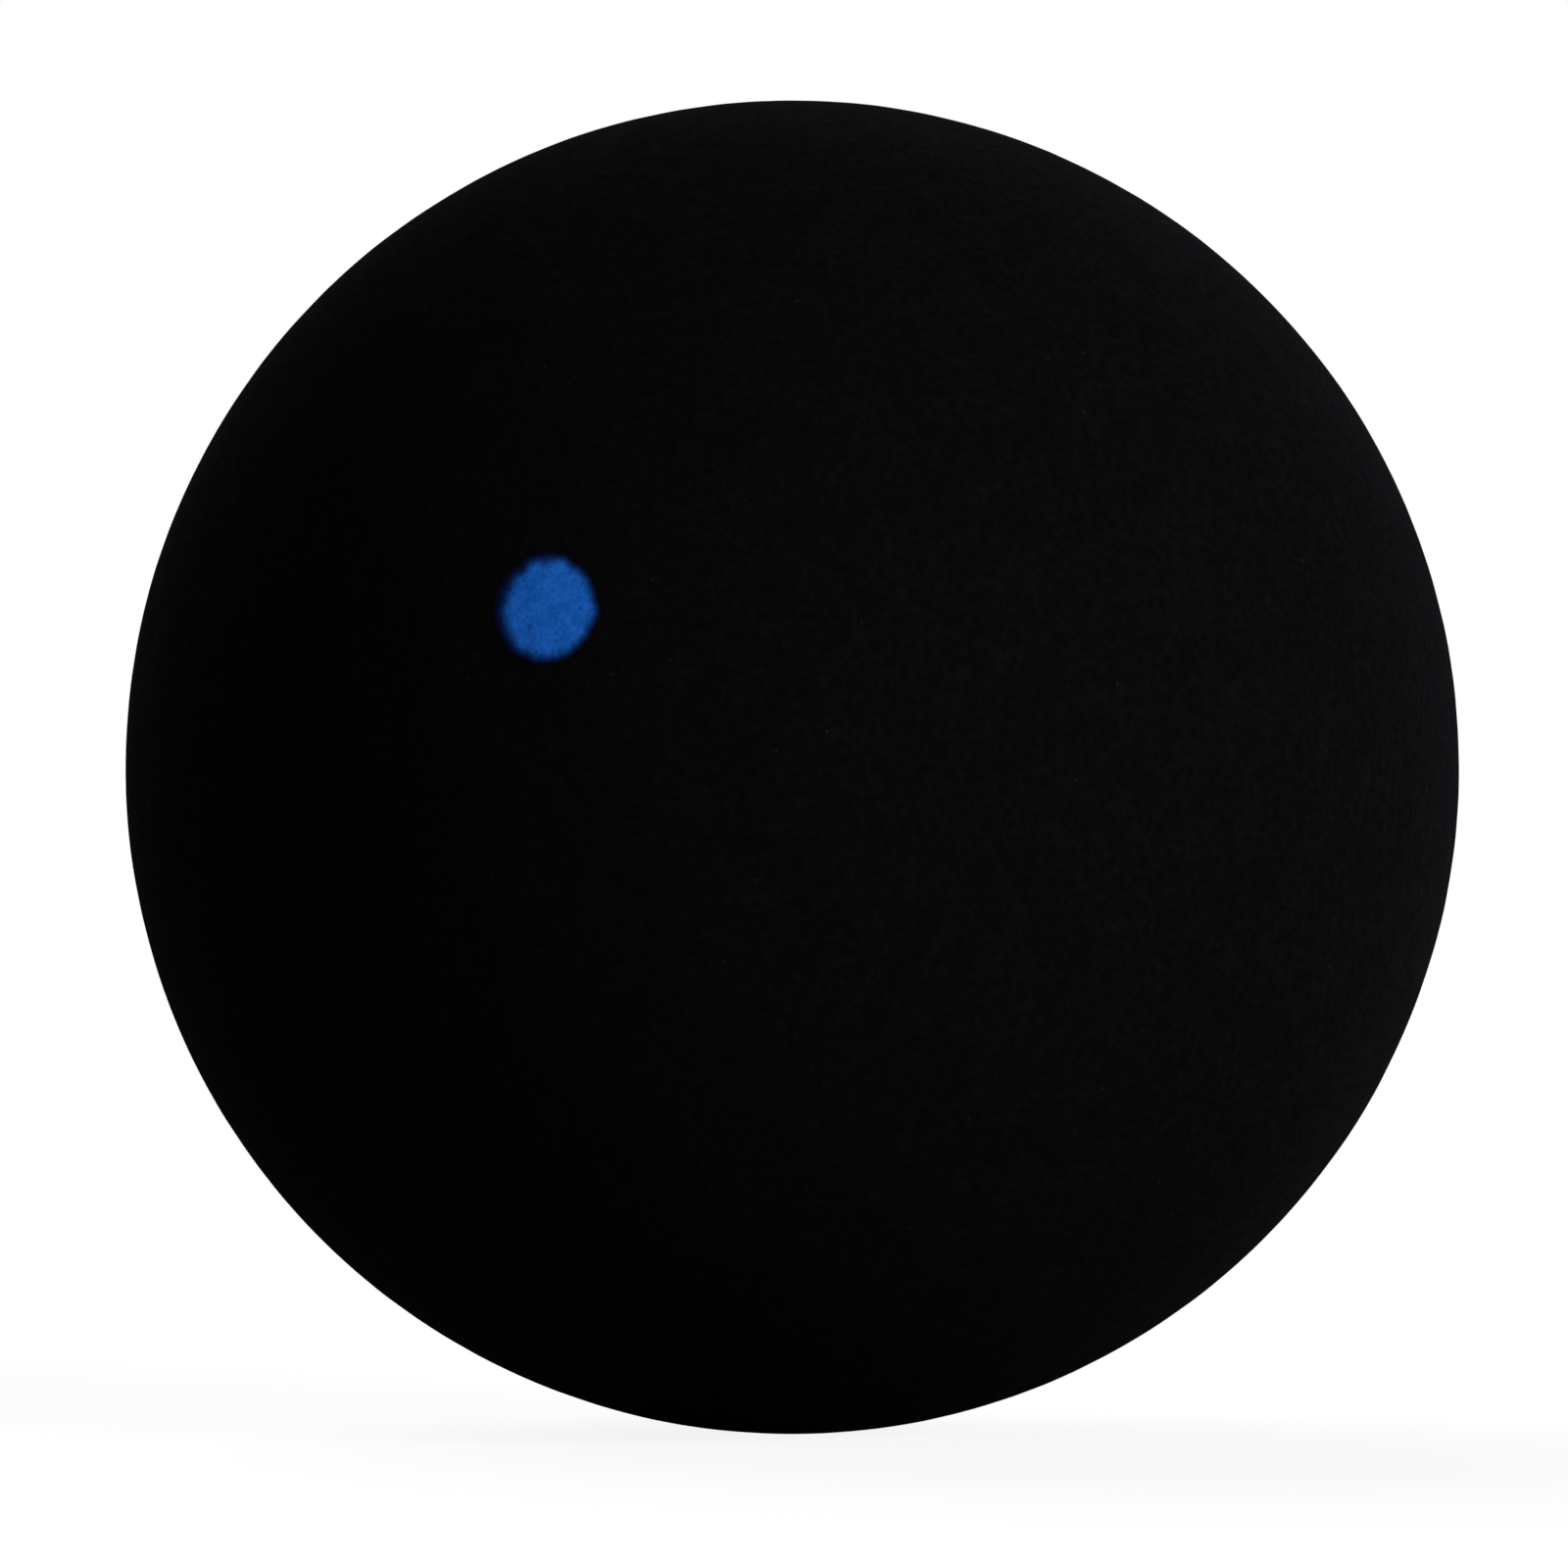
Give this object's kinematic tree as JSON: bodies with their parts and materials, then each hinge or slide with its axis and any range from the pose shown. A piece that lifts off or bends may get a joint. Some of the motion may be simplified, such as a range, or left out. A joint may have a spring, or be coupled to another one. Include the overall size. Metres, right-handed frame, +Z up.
{
  "type": "squash ball",
  "caption": "Hollow rubber squash ball of bonded half shells, buffed matt black, with a small printed blue dot that tells its speed.",
  "frame": {"origin": "the ball's centre", "axes": "+Z up; the seam lies in the XZ plane, so Y is the axis of both half shells, and the half shell with the dot faces -Y, the front"},
  "size_m": [0.04, 0.04, 0.04],
  "materials": {
    "shell_rubber": "matte",
    "rubber_solution": "satin",
    "dot_ink": "matte"
  },
  "bodies": {
    "root": {"front_half_shell": "shell_rubber", "rear_half_shell": "shell_rubber", "seam_adhesive": "rubber_solution", "grade_dot": "dot_ink"}
  },
  "joints": []
}
